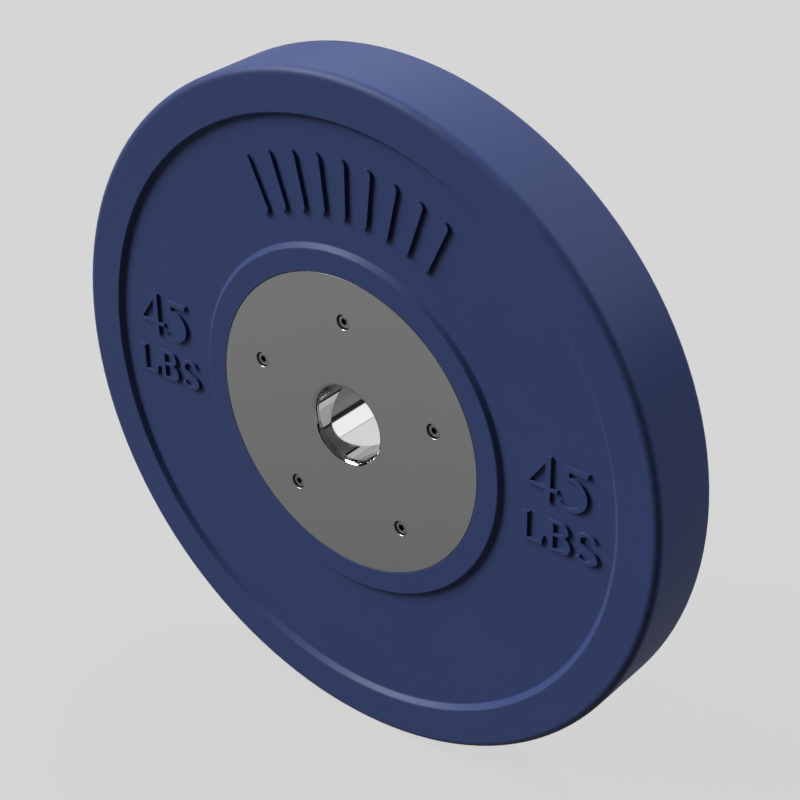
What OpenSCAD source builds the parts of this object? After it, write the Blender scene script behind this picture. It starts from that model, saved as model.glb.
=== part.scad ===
// Competition bumper plate: a moulded rubber tyre bonded to a steel core, closed on each
// face by a bolted steel hub disc, with a chromed sleeve in the bore.
// The plate stands upright. The bore runs along Y, the front face looks toward -Y, +Z is up,
// and the origin is the middle of the bore.

/* [Plate] */
// Diameter over the tread
plate_d = 450; // [430:1:470]
// Thickness over the two rims
plate_t = 54; // [52:0.1:64]
// Radius of the rounding between tread and rim
edge_r = 4.8; // [2:0.1:8]
// Radial width of the flat rim
rim_w = 27.4; // [18:0.1:36]
// Depth of the recessed field below the rim
field_depth = 3.5; // [2.5:0.1:5]
// Lean of the moulded walls, in degrees from the plate's axis
wall_lean = 40; // [30:1:60]
// Radius of the rounding at the top and the foot of the moulded walls
wall_round = 1.4; // [0.4:0.1:1.6]

/* [Hub disc] */
// Diameter of a hub disc
disc_d = 200.4; // [192:0.2:210]
// Thickness of a hub disc
disc_t = 12; // [11:0.1:13]
// How far a hub disc and the rubber ring round it lie below the rim
disc_recess = 0.4; // [0.2:0.1:1.5]
// Chamfer on the outer edge of a hub disc
disc_chamfer = 0.2; // [0.1:0.1:1]
// Flat radial width of the rubber ring round a hub disc
ring_w = 14.7; // [8:0.1:20]
// Radial gap between a hub disc and the rubber ring
disc_fit = 0.15; // [0.05:0.05:0.4]

/* [Bore] */
// Diameter of the bore
bore_d = 50.4; // [50.1:0.1:51]
// Wall of the bore sleeve
sleeve_wall = 3.3; // [2.5:0.1:5]
// Radial depth of the chamfer inside each end of the sleeve
sleeve_chamfer = 0.3; // [0.2:0.1:1.2]
// Radius of the rounded lead-in that each hub disc gives the bore
lead_r = 3.2; // [1.5:0.1:4]
// Radial gap round the sleeve
sleeve_fit = 0.05; // [0.02:0.01:0.1]

/* [Core] */
// Diameter of the core's boss, on which both hub discs seat
boss_d = 170; // [160:1:180]
// Diameter of the core's flange, which the rubber grips
flange_d = 296; // [260:1:320]
// Thickness of the core's flange
flange_t = 10; // [6:0.5:12]
// Radius of the fillet between boss and flange
flange_fillet = 3; // [1:0.5:5]
// Number of keying holes in the flange
key_count = 8; // [4:1:12]
// Diameter of a keying hole
key_d = 20; // [10:1:28]

/* [Screws] */
// Number of screws in each hub disc
screw_count = 5; // [3:1:6]
// Diameter of the circle that the screws stand on
screw_pcd = 142.6; // [120:0.2:150]
// Thread diameter of a screw
screw_d = 5; // [4:1:5]
// Length of a screw under its head
screw_len = 16; // [12:1:18]
// Diameter of a screw's head
head_d = 8.5; // [8:0.1:9]
// Height of a screw's head
head_t = 5; // [4:0.1:5.5]
// Width across the flats of a screw's socket
socket_af = 4; // [3:0.5:4.5]
// Depth of a screw's socket
socket_depth = 2.5; // [1.5:0.1:3]
// Chamfer round the top of a screw's head and its tip
head_chamfer = 0.4; // [0.2:0.1:0.6]
// How far a screw's head lies below the hub disc's face
head_recess = 1.1; // [0.5:0.1:1.5]
// Diameter of the counterbore round a screw's head
counterbore_d = 10; // [9.4:0.1:12]
// Chamfer round the mouth of a counterbore
counterbore_chamfer = 0.15; // [0.1:0.05:0.5]
// Diameter of the hole that a screw passes through in the hub disc
clearance_d = 5.5; // [5.3:0.1:6]
// Radial gap between a screw's thread and its tapped hole
thread_fit = 0.05; // [0.02:0.01:0.1]
// Depth that a tapped hole has beyond its screw's tip
tap_spare = 2; // [1:0.5:2.5]

/* [Lock washers] */
// Outer diameter of a spring lock washer
washer_d = 8.8; // [8:0.1:9.2]
// Thickness of a spring lock washer
washer_t = 1.6; // [1:0.1:2]
// Width of the split in a spring lock washer
washer_split = 0.8; // [0.4:0.1:1.5]
// Radial gap between a lock washer and its screw
washer_fit = 0.05; // [0.02:0.01:0.1]

/* [Raised ribs] */
// Height of the ribs above the field
rib_h = 2.1; // [1:0.1:3.4]
// Number of ribs on each face
rib_count = 9; // [3:1:15]
// Width of a rib
rib_w = 7; // [4:0.5:9]
// Length of a rib along the radius
rib_len = 38; // [20:1:44]
// Angle from one rib to the next
rib_step = 6.4; // [5:0.1:10]

/* [Hidden] */
$fn = 96;
// Largest angle between two flats of a rounding in an outline
arc_step = 7.5;

plate_r = plate_d / 2;
half_t = plate_t / 2;
field_y = half_t - field_depth;
face_y = half_t - disc_recess;
seat_y = face_y - disc_t;

disc_r = disc_d / 2;
disc_pocket_r = disc_r + disc_fit;
ring_lip_round = 0.4;
ring_top_r = disc_pocket_r + ring_w;
ring_foot_r = ring_top_r + (face_y - field_y) * tan(wall_lean);
rim_top_r = plate_r - rim_w;
rim_foot_r = rim_top_r - field_depth * tan(wall_lean);
field_mid_r = (ring_foot_r + rim_foot_r) / 2;

bore_r = bore_d / 2;
sleeve_r = bore_r + sleeve_wall;
sleeve_end_y = face_y - lead_r;
sleeve_pocket_r = sleeve_r + sleeve_fit;
lip_r = bore_r + sleeve_chamfer;
sleeve_chamfer_len = 2 * sleeve_chamfer;
sleeve_edge = 0.3;

boss_r = boss_d / 2;
flange_r = flange_d / 2;
key_circle_r = (boss_r + flange_r) / 2;

screw_circle_r = screw_pcd / 2;
screw_r = screw_d / 2;
head_r = head_d / 2;
head_top_y = face_y - head_recess;
head_seat_y = head_top_y - head_t;
washer_seat_y = head_seat_y - washer_t;
screw_tip_y = head_seat_y - screw_len;
tap_r = screw_r + thread_fit;
tap_end_y = screw_tip_y - tap_spare;
socket_tip_depth = 0.8;
tap_tip_lean = 59;

// How far a cutter runs past the face that it cuts, and how deep a raised shape is rooted
past = 1;

front_screws = [for (i = [1:screw_count]) str("front_screw_", i)];
rear_screws = [for (i = [1:screw_count]) str("rear_screw_", i)];
front_washers = [for (i = [1:screw_count]) str("front_lock_washer_", i)];
rear_washers = [for (i = [1:screw_count]) str("rear_lock_washer_", i)];

rubber_colour = [0.22, 0.28, 0.46];
disc_colour = [0.44, 0.44, 0.44];
sleeve_colour = [0.82, 0.82, 0.84];
core_colour = [0.30, 0.30, 0.31];
screw_colour = [0.42, 0.42, 0.42];
washer_colour = [0.55, 0.55, 0.55];

function unit(v) = v / norm(v);

// Places and sections are written lying flat, with the front face up, and then stood upright.
module stand_up() {
    rotate([90, 0, 0]) children();
}

// The rear face is the front face turned half a turn about the vertical.
module rear_side() {
    rotate([0, 180, 0]) children();
}

function turned(v, angle) = [
    v[0] * cos(angle) - v[1] * sin(angle),
    v[0] * sin(angle) + v[1] * cos(angle)
];

// The corner p of an outline that comes from a and goes on to b, rounded to radius r
function rounded(a, p, b, r) =
    let (
        to_a = unit(a - p),
        to_b = unit(b - p),
        half_angle = acos(to_a * to_b) / 2,
        centre = p + unit(to_a + to_b) * r / sin(half_angle),
        start = p + to_a * r / tan(half_angle) - centre,
        sweep = (180 - 2 * half_angle) * sign(cross(to_b, to_a)),
        steps = ceil(abs(sweep) / arc_step)
    )
    [for (k = [0:steps]) centre + turned(start, sweep * k / steps)];

function backward(points) = [for (i = [len(points) - 1:-1:0]) points[i]];

// The same outline below the middle of the plate, so that it can follow on from the one above
function below(points) = [for (p = backward(points)) [p[0], -p[1]]];

// The core's side, from its front seat round the flange to its rear seat
core_upper_side = concat(
    [[boss_r, seat_y]],
    rounded([boss_r, seat_y], [boss_r, flange_t / 2], [flange_r, flange_t / 2], flange_fillet),
    [[flange_r, flange_t / 2]]
);
core_side = concat(core_upper_side, below(core_upper_side));

// The tyre's outside, from the front hub disc over the field and the rim to the tread
disc_ledge = [disc_pocket_r, seat_y];
ring_lip = [disc_pocket_r, face_y];
ring_top = [ring_top_r, face_y];
ring_foot = [ring_foot_r, field_y];
rim_foot = [rim_foot_r, field_y];
rim_top = [rim_top_r, half_t];
rim_edge = [plate_r, half_t];
tyre_front = concat(
    [disc_ledge],
    rounded(disc_ledge, ring_lip, ring_top, ring_lip_round),
    rounded(ring_lip, ring_top, ring_foot, wall_round),
    rounded(ring_top, ring_foot, rim_foot, wall_round),
    rounded(ring_foot, rim_foot, rim_top, wall_round),
    rounded(rim_foot, rim_top, rim_edge, wall_round),
    rounded(rim_top, rim_edge, [plate_r, 0], edge_r)
);

module tyre_section() {
    polygon(concat(tyre_front, below(tyre_front), backward(core_side)));
}

module core_section() {
    polygon(concat([[sleeve_pocket_r, seat_y]], core_side, [[sleeve_pocket_r, -seat_y]]));
}

module at_keys() {
    for (i = [1:key_count]) rotate(i * 360 / key_count) translate([key_circle_r, 0]) children();
}

module rib_outline() {
    straight = rib_len - rib_w;
    translate([-rib_w / 2, -straight / 2]) square([rib_w, straight]);
    for (end = [-1, 1]) translate([0, end * straight / 2]) circle(d = rib_w);
}

// A fan of plain ribs at the top of the field
module face_ribs() {
    for (i = [0:rib_count - 1]) {
        rotate((i - (rib_count - 1) / 2) * rib_step)
            translate([0, field_mid_r, field_y - past])
                linear_extrude(rib_h + past) rib_outline();
    }
}

module rubber_tyre() {
    color(rubber_colour) stand_up() {
        rotate_extrude() tyre_section();
        at_keys() cylinder(d = key_d, h = flange_t + 2 * past, center = true);
        face_ribs();
        rear_side() face_ribs();
    }
}

module at_screw(i) {
    rotate(90 + (i - 1) * 360 / screw_count) translate([screw_circle_r, 0]) children();
}

module tapped_hole() {
    tip = tap_r / tan(tap_tip_lean);
    rotate_extrude() polygon([
        [0, tap_end_y - tip],
        [tap_r, tap_end_y],
        [tap_r, seat_y + past],
        [0, seat_y + past]
    ]);
}

module core_holes() {
    for (i = [1:screw_count]) at_screw(i) tapped_hole();
}

module iron_core() {
    color(core_colour) stand_up() difference() {
        rotate_extrude() core_section();
        at_keys() cylinder(d = key_d, h = flange_t + 2 * past, center = true);
        core_holes();
        rear_side() core_holes();
    }
}

sleeve_upper = [
    [sleeve_r, sleeve_end_y - sleeve_edge],
    [sleeve_r - sleeve_edge, sleeve_end_y],
    [lip_r, sleeve_end_y],
    [bore_r, sleeve_end_y - sleeve_chamfer_len]
];

module bore_sleeve() {
    color(sleeve_colour) stand_up() rotate_extrude() polygon(concat(sleeve_upper, below(sleeve_upper)));
}

// A hub disc's section, with a pocket under its lip for the sleeve's end
module disc_section() {
    polygon(concat(
        [
            [sleeve_pocket_r, seat_y],
            [sleeve_pocket_r, sleeve_end_y]
        ],
        rounded([lip_r, sleeve_end_y - past], [lip_r, face_y], [disc_r, face_y], lead_r),
        [
            [disc_r - disc_chamfer, face_y],
            [disc_r, face_y - disc_chamfer],
            [disc_r, seat_y]
        ]
    ));
}

module screw_pocket() {
    counterbore_r = counterbore_d / 2;
    mouth_y = face_y - counterbore_chamfer;
    translate([0, 0, seat_y - past]) cylinder(d = clearance_d, h = disc_t + 2 * past);
    translate([0, 0, washer_seat_y]) cylinder(r = counterbore_r, h = face_y - washer_seat_y + past);
    translate([0, 0, mouth_y]) cylinder(
        r1 = counterbore_r,
        r2 = counterbore_r + counterbore_chamfer + past,
        h = counterbore_chamfer + past
    );
}

module hub_disc() {
    difference() {
        rotate_extrude() disc_section();
        for (i = [1:screw_count]) at_screw(i) screw_pocket();
    }
}

module front_hub_disc() {
    color(disc_colour) stand_up() hub_disc();
}

module rear_hub_disc() {
    color(disc_colour) stand_up() rear_side() hub_disc();
}

module screw_section() {
    polygon([
        [0, screw_tip_y],
        [screw_r - head_chamfer, screw_tip_y],
        [screw_r, screw_tip_y + head_chamfer],
        [screw_r, head_seat_y],
        [head_r, head_seat_y],
        [head_r, head_top_y - head_chamfer],
        [head_r - head_chamfer, head_top_y],
        [0, head_top_y]
    ]);
}

module socket_screw() {
    socket_r = socket_af / 2 / cos(30);
    socket_floor_y = head_top_y - socket_depth;
    difference() {
        rotate_extrude() screw_section();
        translate([0, 0, socket_floor_y]) cylinder(r = socket_r, h = socket_depth + past, $fn = 6);
        translate([0, 0, socket_floor_y - socket_tip_depth])
            cylinder(r1 = 0, r2 = socket_af / 2, h = socket_tip_depth);
    }
}

module lock_washer() {
    washer_r = washer_d / 2;
    inner_r = screw_r + washer_fit;
    split_angle = 2 * asin(washer_split / (washer_r + inner_r));
    translate([0, 0, washer_seat_y])
        rotate(split_angle / 2)
            rotate_extrude(angle = 360 - split_angle)
                translate([inner_r, 0]) square([washer_r - inner_r, washer_t]);
}

rubber_tyre();
iron_core();
bore_sleeve();
front_hub_disc();
rear_hub_disc();
for (i = [1:screw_count]) {
    color(screw_colour) stand_up() at_screw(i) socket_screw();
    color(screw_colour) stand_up() rear_side() at_screw(i) socket_screw();
    color(washer_colour) stand_up() at_screw(i) lock_washer();
    color(washer_colour) stand_up() rear_side() at_screw(i) lock_washer();
}
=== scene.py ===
import math

import bmesh
import bpy
from mathutils import Matrix, Vector


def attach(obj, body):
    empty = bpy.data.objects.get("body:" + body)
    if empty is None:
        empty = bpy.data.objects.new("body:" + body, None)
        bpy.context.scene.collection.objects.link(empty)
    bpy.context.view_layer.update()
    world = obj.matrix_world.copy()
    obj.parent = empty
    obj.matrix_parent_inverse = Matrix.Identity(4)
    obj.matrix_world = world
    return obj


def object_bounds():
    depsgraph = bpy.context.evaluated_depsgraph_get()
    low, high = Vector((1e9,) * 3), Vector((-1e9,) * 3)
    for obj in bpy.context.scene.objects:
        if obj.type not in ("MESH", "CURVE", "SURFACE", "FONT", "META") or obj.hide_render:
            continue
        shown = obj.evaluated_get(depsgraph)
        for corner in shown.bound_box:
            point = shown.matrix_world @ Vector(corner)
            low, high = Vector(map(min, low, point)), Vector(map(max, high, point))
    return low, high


# Lengths are in metres. The bore runs along Y, the front face looks toward -Y and +Z is up.

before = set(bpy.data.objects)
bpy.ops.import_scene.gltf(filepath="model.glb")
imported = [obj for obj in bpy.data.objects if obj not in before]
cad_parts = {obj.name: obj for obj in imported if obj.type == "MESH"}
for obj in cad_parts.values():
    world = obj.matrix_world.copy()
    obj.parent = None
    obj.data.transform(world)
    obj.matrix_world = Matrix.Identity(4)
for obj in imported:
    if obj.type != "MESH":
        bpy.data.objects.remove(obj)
cad_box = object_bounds()

MM = 0.001

# The camera: where it looks, from which side, and how far away
CAMERA_TARGET = Vector((0.02088, 0.0, 0.01336))
CAMERA_AZIMUTH = math.radians(39.913)
CAMERA_ELEVATION = math.radians(31.106)
CAMERA_ROLL = math.radians(-0.769)
CAMERA_DISTANCE = 1.1751
CAMERA_LENS_MM = 87.21
CAMERA_SENSOR_MM = 36.0
CAMERA_NEAREST = 0.01
CAMERA_FARTHEST = 50.0

# How bright the backdrop is to the camera, and to light that bounces off it
BACKDROP = 0.672
BOUNCE = 0.04
# The two sides of the studio that gloss shows: elevation in degrees, and what part of the studio's full
# brightness a side has there. The right one has a bright panel above the dark strip, and a line over it.
STUDIO_LEFT = (
    (0, 0.17),
    (1, 0.17),
    (2, 0.02),
    (12, 0.02),
    (15, 0.76),
)
STUDIO_RIGHT = (
    (0, 0.17),
    (1, 0.17),
    (2, 0.02),
    (12, 0.02),
    (15, 1.0),
    (43, 1.0),
    (43.4, 0.38),
    (44.0, 0.38),
    (44.4, 0.76),
)
# The studio's full brightness in its front half, and in its back half
STUDIO_LEVEL = (0.1, 1.75)
# Between which directions the left side turns into the right one, as a unit vector's X, and the front half
# into the back half, as its Y
SIDE_SEAM = (-0.1, 0.0)
LEVEL_SEAM = (-0.2, 0.3)

FLOOR_RADIUS = 8.0
FLOOR_SIDES = 96
FLOOR_COLOUR = (0.48, 0.48, 0.48)
# How much of the floor's look is lamplight, which the plate's shadow lacks
FLOOR_SHADOW = 0.09
# How bright gloss sees the floor near the plate and far from it, and how far from the plate's middle that is.
# The darker glow near the plate is painted shade.
FLOOR_GLOSS = (0.21, 0.29)
FLOOR_GLOSS_REACH = (0.25, 0.75)

# Each lamp: name, azimuth and elevation that it shines from, strength, angular size in degrees, and
# whether gloss shows it. Gloss shows the back half of the studio in place of the lamps there.
LAMPS = (
    ("key", -60, 40, 2.5, 30, True),
    ("low_key", -49, 26, 1.4, 30, True),
    ("top_back", -144, 58, 1.55, 12, False),
    ("right_back", 139, 29, 1.35, 28, False),
)
# A sun's light is the same wherever the lamp stands
LAMP_DISTANCE = 2.0

RUBBER = (0.0415, 0.0635, 0.177)
RUBBER_SCUFFED = (0.075, 0.105, 0.235)
STEEL = (0.525, 0.524, 0.521)
CHROME = (0.48, 0.48, 0.484)
IRON = (0.075, 0.073, 0.072)
# Painted shade: a near-black colour laid into the screw sockets and over the hub discs' outer edges
PAINTED_SHADE = (0.04, 0.04, 0.04)

# Places of the rubber's edges, in mm: radius, distance from the middle plane, and reach of the wear
RUBBED_EDGES = (
    (223.6, 25.6, 3.4),
    (197.6, 27.0, 1.8),
    (115.0, 26.6, 1.6),
    (101.0, 26.6, 1.2),
)

# Where a hub disc is polished, as it leads into the bore: out to this radius, fading over this width
POLISHED_RADIUS = 28.5 * MM
POLISHED_FADE = 0.3 * MM
# Where its outer edge is blackened with painted shade, so that its chamfer shows no bright reflection: from
# this radius outward, fading in over this width before it
EDGE_SHADE_RADIUS = 100.0 * MM
EDGE_SHADE_FADE = 0.1 * MM
# How far the top of a screw's head is from the middle plane, and how deep below that its socket blackens with
# painted shade
HEAD_TOP = 25.5 * MM
SOCKET_PAINTED_SHADE = (0.2 * MM, 0.9 * MM)

# Weight marks: how far each block is from the axis, its foot in the rubber, its top, and its rounded edges
MARK_MIDDLE = 156 * MM
MARK_FOOT = 23 * MM
MARK_TOP = 25.5 * MM
MARK_BEVEL = 0.1 * MM
MARK_BEVEL_STEPS = 2
# Edges that turn by more than this stay sharp
MARK_SHARP = math.radians(35)
# Where the number and the unit stand, in mm above the middle of a block
NUMBER_BASE = 6.2
UNIT_BASE = -24.8


class Nodes:
    """A node tree, and short ways to add nodes to it."""

    # The sockets of a mix node that colours use: how far it is mixed, the two colours, and the result
    MIX_INPUTS = (0, 6, 7)
    MIX_RESULT = 2

    def __init__(self, tree):
        self.nodes = tree.nodes
        self.links = tree.links
        self.coordinates = tree.nodes.new("ShaderNodeTexCoord")
        self.place = self.coordinates.outputs["Object"]

    def feed(self, socket, value):
        """Links value to socket if it is a socket, and otherwise sets it."""
        if isinstance(value, bpy.types.NodeSocket):
            self.links.new(value, socket)
        else:
            socket.default_value = value

    def math(self, operation, *values):
        node = self.nodes.new("ShaderNodeMath")
        node.operation = operation
        for socket, value in zip(node.inputs, values):
            self.feed(socket, value)
        return node.outputs[0]

    def blend(self, first, second, share):
        """The mean of two values, in which first has this share."""
        return self.math("ADD", self.math("MULTIPLY", first, share), self.math("MULTIPLY", second, 1 - share))

    def length(self, across, along):
        """The length of the diagonal of two sides."""
        squares = self.math("ADD", self.math("MULTIPLY", across, across), self.math("MULTIPLY", along, along))
        return self.math("SQRT", squares)

    def range(self, value, low, high, start=0.0, end=1.0):
        """Runs from low to high as value runs from start to end."""
        node = self.nodes.new("ShaderNodeMapRange")
        self.feed(node.inputs["Value"], value)
        self.feed(node.inputs["From Min"], start)
        self.feed(node.inputs["From Max"], end)
        self.feed(node.inputs["To Min"], low)
        self.feed(node.inputs["To Max"], high)
        return node.outputs["Result"]

    def rise(self, value, start, end):
        """Runs from 0 to 1 as value runs from start to end."""
        return self.range(value, 0.0, 1.0, start, end)

    def noise_node(self, scale, detail, roughness):
        node = self.nodes.new("ShaderNodeTexNoise")
        node.inputs["Scale"].default_value = scale
        node.inputs["Detail"].default_value = detail
        node.inputs["Roughness"].default_value = roughness
        return node

    def noise(self, scale, detail, roughness=0.5, place=None):
        """Noise that changes with the place on the object."""
        node = self.noise_node(scale, detail, roughness)
        self.links.new(place or self.place, node.inputs["Vector"])
        return node.outputs["Fac"]

    def noise_along(self, value, scale, detail, roughness):
        """Noise that changes only with value."""
        node = self.noise_node(scale, detail, roughness)
        node.noise_dimensions = "1D"
        self.links.new(value, node.inputs["W"])
        return node.outputs["Fac"]

    def stretched(self, scale):
        """The place on the object, with each axis scaled."""
        node = self.nodes.new("ShaderNodeMapping")
        node.inputs["Scale"].default_value = scale
        self.links.new(self.place, node.inputs["Vector"])
        return node.outputs["Vector"]

    def tint(self, fac, first, second):
        """A colour between first and second."""
        node = self.nodes.new("ShaderNodeMix")
        node.data_type = "RGBA"
        for index, value in zip(self.MIX_INPUTS, (fac, first, second)):
            self.feed(node.inputs[index], value)
        return node.outputs[self.MIX_RESULT]

    def bump(self, height, distance, strength=1.0, normal=None):
        node = self.nodes.new("ShaderNodeBump")
        node.inputs["Distance"].default_value = distance
        node.inputs["Strength"].default_value = strength
        self.links.new(height, node.inputs["Height"])
        if normal is not None:
            self.links.new(normal, node.inputs["Normal"])
        return node.outputs["Normal"]

    def split(self, vector):
        node = self.nodes.new("ShaderNodeSeparateXYZ")
        self.links.new(vector, node.inputs[0])
        return node.outputs

    def radius(self):
        """The distance from the bore's axis."""
        parts = self.split(self.place)
        return self.length(parts["X"], parts["Z"])

    def depth(self):
        """The distance from the plate's middle plane."""
        return self.math("ABSOLUTE", self.split(self.place)["Y"])

    def matte(self, colour):
        node = self.nodes.new("ShaderNodeBsdfDiffuse")
        node.inputs["Color"].default_value = shade(colour)
        return node.outputs[0]

    def mix_shaders(self, fac, first, second):
        node = self.nodes.new("ShaderNodeMixShader")
        for socket, value in zip(node.inputs, (fac, first, second)):
            self.feed(socket, value)
        return node.outputs[0]


def new_material(name):
    """A new material, and its nodes with the inputs of their shader."""
    material = bpy.data.materials.new(name)
    material.use_nodes = True
    look = Nodes(material.node_tree)
    look.shader = look.nodes["Principled BSDF"].inputs
    return material, look


def shade(colour, factor=1.0):
    """The colour, made lighter or darker by factor, with full alpha."""
    return tuple(channel * factor for channel in colour) + (1.0,)


def edge_wear(look):
    """From 0 to 1, where one of the rubber's edges is rubbed."""
    radius = look.radius()
    depth = look.depth()
    wear = None
    for edge_radius, edge_depth, reach in RUBBED_EDGES:
        across = look.math("SUBTRACT", radius, edge_radius * MM)
        along = look.math("SUBTRACT", depth, edge_depth * MM)
        near = look.range(look.length(across, along), low=1.0, high=0.0, end=reach * MM)
        wear = near if wear is None else look.math("MAXIMUM", wear, near)
    return wear


def rubber_material():
    """Matte moulded rubber: a fine grain, broad shifts of colour and gloss, and scuffed edges."""
    material, look = new_material("moulded_rubber")
    broad = look.noise(scale=14, detail=4)
    mottle = look.noise(scale=160, detail=3)
    grain = look.noise(scale=1600, detail=2)
    patches = look.rise(look.noise(scale=90, detail=6, roughness=0.65), start=0.42, end=0.72)
    scuffs = look.math("MULTIPLY", edge_wear(look), patches)
    shifts = look.blend(broad, mottle, share=0.7)
    free_of_wear_and_shade = look.tint(shifts, shade(RUBBER, 0.93), shade(RUBBER, 1.07))
    worn = look.tint(look.math("MULTIPLY", scuffs, 0.5), free_of_wear_and_shade, shade(RUBBER_SCUFFED))
    look.feed(look.shader["Base Color"], worn)
    satin = look.range(shifts, low=0.39, high=0.46)
    rough = look.math("ADD", satin, look.math("MULTIPLY", scuffs, 0.12))
    look.feed(look.shader["Roughness"], rough)
    look.shader["Specular IOR Level"].default_value = 0.19
    rubbed = look.bump(patches, distance=0.03 * MM, strength=0.3)
    grainy = look.bump(grain, distance=0.04 * MM, strength=0.5, normal=rubbed)
    look.feed(look.shader["Normal"], grainy)
    return material


def disc_material():
    """Satin steel faced on a lathe, and polished where it leads into the bore."""
    material, look = new_material("turned_steel")
    radius = look.radius()
    rings = look.noise_along(radius, scale=1100, detail=5, roughness=0.6)
    broad = look.noise(scale=24, detail=4)
    shifts = look.blend(rings, broad, share=0.6)
    bare = look.tint(shifts, shade(STEEL, 0.96), shade(STEEL, 1.04))
    # Painted shade: the outer edge is blackened, so its chamfer shows no bright reflection
    edge_shade = look.rise(radius, start=EDGE_SHADE_RADIUS - EDGE_SHADE_FADE, end=EDGE_SHADE_RADIUS)
    look.feed(look.shader["Base Color"], look.tint(edge_shade, bare, shade(PAINTED_SHADE)))
    satin = look.range(shifts, low=0.29, high=0.37)
    unpolished = look.rise(radius, start=POLISHED_RADIUS - POLISHED_FADE, end=POLISHED_RADIUS)
    look.feed(look.shader["Roughness"], look.range(unpolished, low=0.06, high=satin))
    look.shader["Metallic"].default_value = 1.0
    grooves = look.math("MULTIPLY", rings, unpolished)
    look.feed(look.shader["Normal"], look.bump(grooves, distance=0.006 * MM, strength=0.5))
    return material


def steel_material(name, brightness, roughness):
    """Plain steel, with a faint uneven gloss. Deeper than just below a screw head's top it is painted black,
    as shade in the socket.
    """
    material, look = new_material(name)
    broad = look.noise(scale=60, detail=4)
    fine = look.noise(scale=2500, detail=2)
    shallow, deep = SOCKET_PAINTED_SHADE
    # Painted shade: black from just below the head's top downward, darkening the socket
    free_of_wear_and_shade = look.rise(look.depth(), start=HEAD_TOP - deep, end=HEAD_TOP - shallow)
    bare = look.tint(broad, shade(STEEL, 0.95 * brightness), shade(STEEL, 1.05 * brightness))
    look.feed(look.shader["Base Color"], look.tint(free_of_wear_and_shade, shade(PAINTED_SHADE), bare))
    satin = look.range(broad, low=roughness - 0.04, high=roughness + 0.04)
    look.feed(look.shader["Roughness"], satin)
    look.shader["Metallic"].default_value = 1.0
    look.feed(look.shader["Normal"], look.bump(fine, distance=0.01 * MM, strength=0.4))
    return material


def chrome_material():
    """Polished chrome plating, with hairlines along the bore from the bars that slide through it."""
    material, look = new_material("polished_chrome")
    broad = look.noise(scale=40, detail=5)
    along_bore = look.stretched((1, 0.02, 1))
    hairs = look.noise(scale=1500, detail=4, roughness=0.7, place=along_bore)
    look.feed(look.shader["Base Color"], look.tint(broad, shade(CHROME, 0.97), shade(CHROME, 1.02)))
    look.feed(look.shader["Roughness"], look.range(hairs, low=0.02, high=0.07, start=0.35, end=0.8))
    look.shader["Metallic"].default_value = 1.0
    look.feed(look.shader["Normal"], look.bump(hairs, distance=0.001 * MM, strength=0.2))
    return material


def iron_material():
    """Raw cast iron."""
    material, look = new_material("cast_iron")
    sand = look.noise(scale=700, detail=6, roughness=0.6)
    look.feed(look.shader["Base Color"], look.tint(sand, shade(IRON, 0.7), shade(IRON, 1.3)))
    look.feed(look.shader["Roughness"], look.range(sand, low=0.55, high=0.8))
    look.shader["Metallic"].default_value = 0.6
    look.feed(look.shader["Normal"], look.bump(sand, distance=0.2 * MM))
    return material


def dress(obj, material):
    """Gives obj one material on every face."""
    obj.data.materials.clear()
    obj.data.materials.append(material)


def dress_frame(rubber):
    """Gives each piece of the frame the material that its name calls for."""
    looks = {
        "rubber_tyre": rubber,
        "iron_core": iron_material(),
        "bore_sleeve": chrome_material(),
        "hub_disc": disc_material(),
        "screw": steel_material("screw_steel", brightness=0.75, roughness=0.32),
        "lock_washer": steel_material("washer_steel", brightness=1.0, roughness=0.4),
    }
    for name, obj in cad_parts.items():
        dress(obj, next(material for part, material in looks.items() if part in name))


def add_object(name, data):
    obj = bpy.data.objects.new(name, data)
    bpy.context.scene.collection.objects.link(obj)
    return obj


def arc(x, z, wide, high, start, stop, steps=18):
    """Points along part of an ellipse round (x, z), from start to stop in degrees."""
    points = []
    for step in range(steps + 1):
        angle = math.radians(start + (stop - start) * step / steps)
        points.append((x + wide * math.cos(angle), z + high * math.sin(angle)))
    return points


def ribbon(path, thin, thick):
    """The outline of a stroke along path, thin where it runs level and thick where it runs upright."""
    left = []
    right = []
    for index, (x, z) in enumerate(path):
        before = path[max(index - 1, 0)]
        after = path[min(index + 1, len(path) - 1)]
        run = Vector((after[0] - before[0], after[1] - before[1])).normalized()
        half = (thin + (thick - thin) * abs(run.y)) / 2
        left.append((x - run.y * half, z + run.x * half))
        right.append((x + run.y * half, z - run.x * half))
    return left + right[::-1]


# The outlines of the weight marks, in mm from the middle of a block and up from a baseline
FOUR = (
    [
        (-22.6, 7.8), (-22.6, 10), (-8.0, 30.1), (-5.1, 30.1), (-5.1, 10), (-0.3, 10),
        (-0.3, 7.8), (-5.1, 7.8), (-5.1, 0), (-8.8, 0), (-8.8, 7.8),
    ],
    [(-19.7, 10), (-8.8, 10), (-8.8, 25.4)],
)
FIVE = (
    [(5.2, 29.0), (20.4, 29.0), (19.4, 25.6), (7.4, 25.6), (7.4, 21.3)]
    + arc(9, 11.1, 11.1, 11.1, 98, -135, steps=40)
    + arc(7.5, 11.1, 9, 9, -130, 105, steps=40),
)
LETTER_L = (
    [
        (-24.6, 19.3), (-19.3, 19.3), (-20.3, 18.1), (-20.3, 1.8), (-13, 1.8), (-9.9, 6.2),
        (-9.0, 6.2), (-9.9, 0), (-24.6, 0), (-23.6, 1.2), (-23.6, 18.1),
    ],
)
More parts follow.
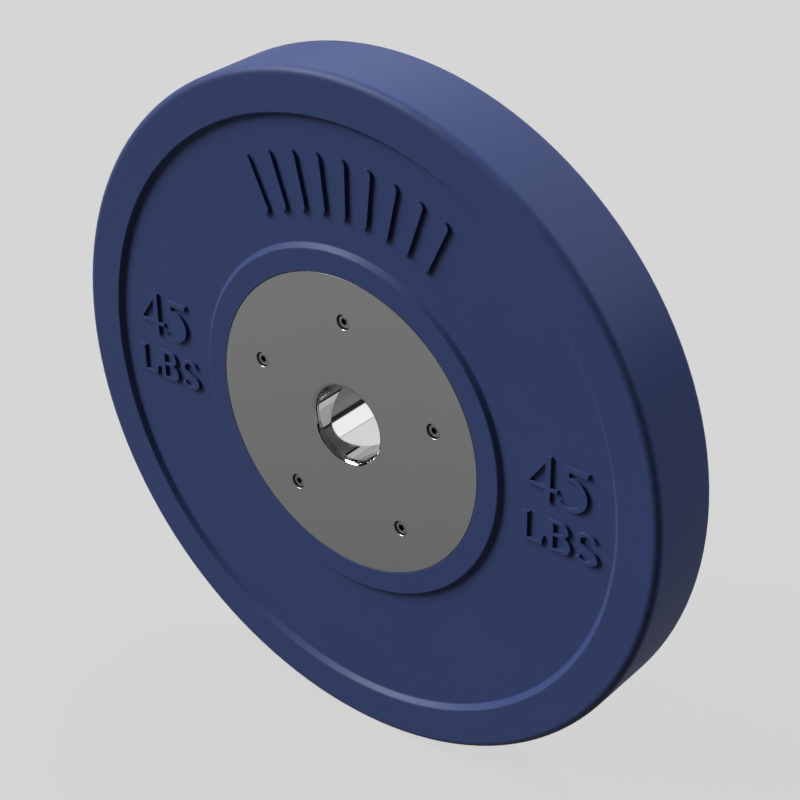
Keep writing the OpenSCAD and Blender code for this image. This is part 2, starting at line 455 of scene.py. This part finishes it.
LETTER_B = (
    [(-6.4, 20.5)]
    + arc(3.6, 15.7, 4.8, 4.8, 90, -90)
    + arc(4.6, 5.45, 5.45, 5.45, 90, -90)
    + [(-6.4, 0), (-5.4, 1.2), (-5.4, 19.3)],
    [(-2.1, 18.7)] + arc(2.0, 15.4, 3.1, 3.3, 90, -90) + [(-2.1, 12.1)],
    [(-2.1, 10.3)] + arc(2.6, 6.05, 4.1, 4.25, 90, -90) + [(-2.1, 1.8)],
)
LETTER_S = (
    ribbon(
        arc(20.4, 15.3, 5.6, 4.3, 20, 225, steps=30) + arc(20.6, 5.3, 6.2, 4.4, 45, -160, steps=30),
        thin=1.8,
        thick=3.6,
    ),
)
MARKS = (
    (FOUR, NUMBER_BASE),
    (FIVE, NUMBER_BASE),
    (LETTER_L, UNIT_BASE),
    (LETTER_B, UNIT_BASE),
    (LETTER_S, UNIT_BASE),
)


def block_curve(name):
    """The marks of one block as a curve that is filled and as thick as the block."""
    curve = bpy.data.curves.new(name, "CURVE")
    curve.dimensions = "2D"
    curve.fill_mode = "BOTH"
    curve.extrude = (MARK_TOP - MARK_FOOT) / 2 - MARK_BEVEL
    curve.bevel_depth = MARK_BEVEL
    curve.bevel_resolution = MARK_BEVEL_STEPS
    curve.offset = -MARK_BEVEL
    for outlines, base in MARKS:
        for outline in outlines:
            spline = curve.splines.new("POLY")
            spline.points.add(len(outline) - 1)
            spline.use_cyclic_u = True
            for point, (x, z) in zip(spline.points, outline):
                point.co = (x * MM, (z + base) * MM, 0, 1)
    return curve


def curve_mesh(curve):
    """The curve as a mesh. No object of the curve's own is left in the scene."""
    drawn = add_object(curve.name, curve)
    depsgraph = bpy.context.evaluated_depsgraph_get()
    mesh = bpy.data.meshes.new_from_object(drawn.evaluated_get(depsgraph))
    bpy.data.objects.remove(drawn)
    return mesh


def weight_mark(name, middle, turn, rubber):
    """One raised block of the weight and its unit, on the front face or turned round to the rear."""
    mesh = curve_mesh(block_curve(name + "_outline"))
    mesh.name = name
    stand_up = Matrix.Rotation(math.radians(90), 4, "X")
    into_place = Matrix.Translation((middle, -(MARK_TOP + MARK_FOOT) / 2, 0))
    mesh.transform(Matrix.Rotation(turn, 4, "Z") @ into_place @ stand_up)
    mesh.shade_smooth()
    mesh.set_sharp_from_angle(angle=MARK_SHARP)
    mark = add_object(name, mesh)
    dress(mark, rubber)
    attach(mark, "root")


def build_weight_marks(rubber):
    for face, turn in (("front", 0.0), ("rear", math.pi)):
        weight_mark(face + "_left_weight_mark", -MARK_MIDDLE, turn, rubber)
        weight_mark(face + "_right_weight_mark", MARK_MIDDLE, turn, rubber)


def light_path(look):
    """1 for the rays that show the backdrop, and 1 for those of them that gloss sends out."""
    path = look.nodes.new("ShaderNodeLightPath").outputs
    mirrored = look.math("MAXIMUM", path["Is Glossy Ray"], path["Is Transmission Ray"])
    return look.math("MAXIMUM", path["Is Camera Ray"], mirrored), path["Is Glossy Ray"]


def studio_side(look, height, steps):
    """How bright one side of the studio is at that height."""
    ramp = look.nodes.new("ShaderNodeValToRGB")
    look.links.new(height, ramp.inputs["Fac"])
    stops = ramp.color_ramp.elements
    while len(stops) < len(steps):
        stops.new(1.0)
    for stop, (elevation, brightness) in zip(stops, steps):
        stop.position = math.sin(math.radians(elevation))
        stop.color = (brightness, brightness, brightness, 1)
    return ramp.outputs["Color"]


def build_world():
    """A pale backdrop all round, which gloss sees as a studio with a dark strip above the floor."""
    world = bpy.data.worlds.new("studio")
    world.use_nodes = True
    bpy.context.scene.world = world
    look = Nodes(world.node_tree)
    across, depth, height = look.split(look.coordinates.outputs["Generated"])
    left = studio_side(look, height, STUDIO_LEFT)
    right = studio_side(look, height, STUDIO_RIGHT)
    side = look.range(across, left, right, *SIDE_SEAM)
    level = look.range(depth, *STUDIO_LEVEL, *LEVEL_SEAM)
    shown, glossy = light_path(look)
    seen = look.range(glossy, BACKDROP, look.math("MULTIPLY", side, level))
    background = look.nodes["Background"].inputs
    background["Color"].default_value = (1, 1, 1, 1)
    look.feed(background["Strength"], look.range(shown, BOUNCE, seen))


def floor_material():
    """Pale to the camera, darker to gloss, and nearly black to the light that bounces off it."""
    material, look = new_material("pale_floor")
    distance = look.nodes.new("ShaderNodeVectorMath")
    distance.operation = "LENGTH"
    look.links.new(look.place, distance.inputs[0])
    # Painted shade: the floor glows darker for gloss near the plate, as if shade fell there
    mirrored = look.range(distance.outputs["Value"], *FLOOR_GLOSS, *FLOOR_GLOSS_REACH)
    shown, glossy = light_path(look)
    glow = look.nodes.new("ShaderNodeEmission")
    look.feed(glow.inputs["Strength"], look.range(glossy, BACKDROP, mirrored))
    pale = look.mix_shaders(FLOOR_SHADOW, glow.outputs[0], look.matte(FLOOR_COLOUR))
    dark = look.matte((BOUNCE, BOUNCE, BOUNCE))
    look.links.new(look.mix_shaders(shown, dark, pale), look.nodes["Material Output"].inputs["Surface"])
    return material


def build_floor():
    """A floor that the plate stands on. It keeps the plate's shadow."""
    low = cad_box[0][2]
    mesh = bpy.data.meshes.new("floor")
    shape = bmesh.new()
    bmesh.ops.create_circle(shape, cap_ends=True, segments=FLOOR_SIDES, radius=FLOOR_RADIUS)
    bmesh.ops.translate(shape, verts=shape.verts, vec=(0, 0, low))
    shape.to_mesh(mesh)
    shape.free()
    floor = add_object("floor", mesh)
    dress(floor, floor_material())


def toward(azimuth, elevation):
    """The unit vector to something seen at that azimuth, from the front round by the right, and elevation."""
    flat = math.cos(elevation)
    return Vector((math.sin(azimuth) * flat, -math.cos(azimuth) * flat, math.sin(elevation)))


def build_lamps():
    for name, azimuth, elevation, strength, size, in_gloss in LAMPS:
        light = bpy.data.lights.new(name, "SUN")
        light.energy = strength
        light.angle = math.radians(size)
        lamp = add_object(name, light)
        away = toward(math.radians(azimuth), math.radians(elevation))
        lamp.location = LAMP_DISTANCE * away
        lamp.rotation_euler = away.to_track_quat("Z", "Y").to_euler()
        lamp.visible_glossy = in_gloss


def build_camera():
    back = toward(CAMERA_AZIMUTH, CAMERA_ELEVATION)
    right = Vector((math.cos(CAMERA_AZIMUTH), math.sin(CAMERA_AZIMUTH), 0))
    up = back.cross(right)
    turned_right = math.cos(CAMERA_ROLL) * right + math.sin(CAMERA_ROLL) * up
    turned_up = back.cross(turned_right)
    data = bpy.data.cameras.new("camera")
    data.lens = CAMERA_LENS_MM
    data.sensor_width = CAMERA_SENSOR_MM
    data.clip_start = CAMERA_NEAREST
    data.clip_end = CAMERA_FARTHEST
    camera = add_object("camera", data)
    place = Matrix((turned_right, turned_up, back)).transposed().to_4x4()
    place.translation = CAMERA_TARGET + back * CAMERA_DISTANCE
    camera.matrix_world = place
    scene = bpy.context.scene
    scene.camera = camera
    scene.view_settings.view_transform = "Standard"


build_camera()
build_world()
build_floor()
build_lamps()
rubber = rubber_material()
dress_frame(rubber)
build_weight_marks(rubber)
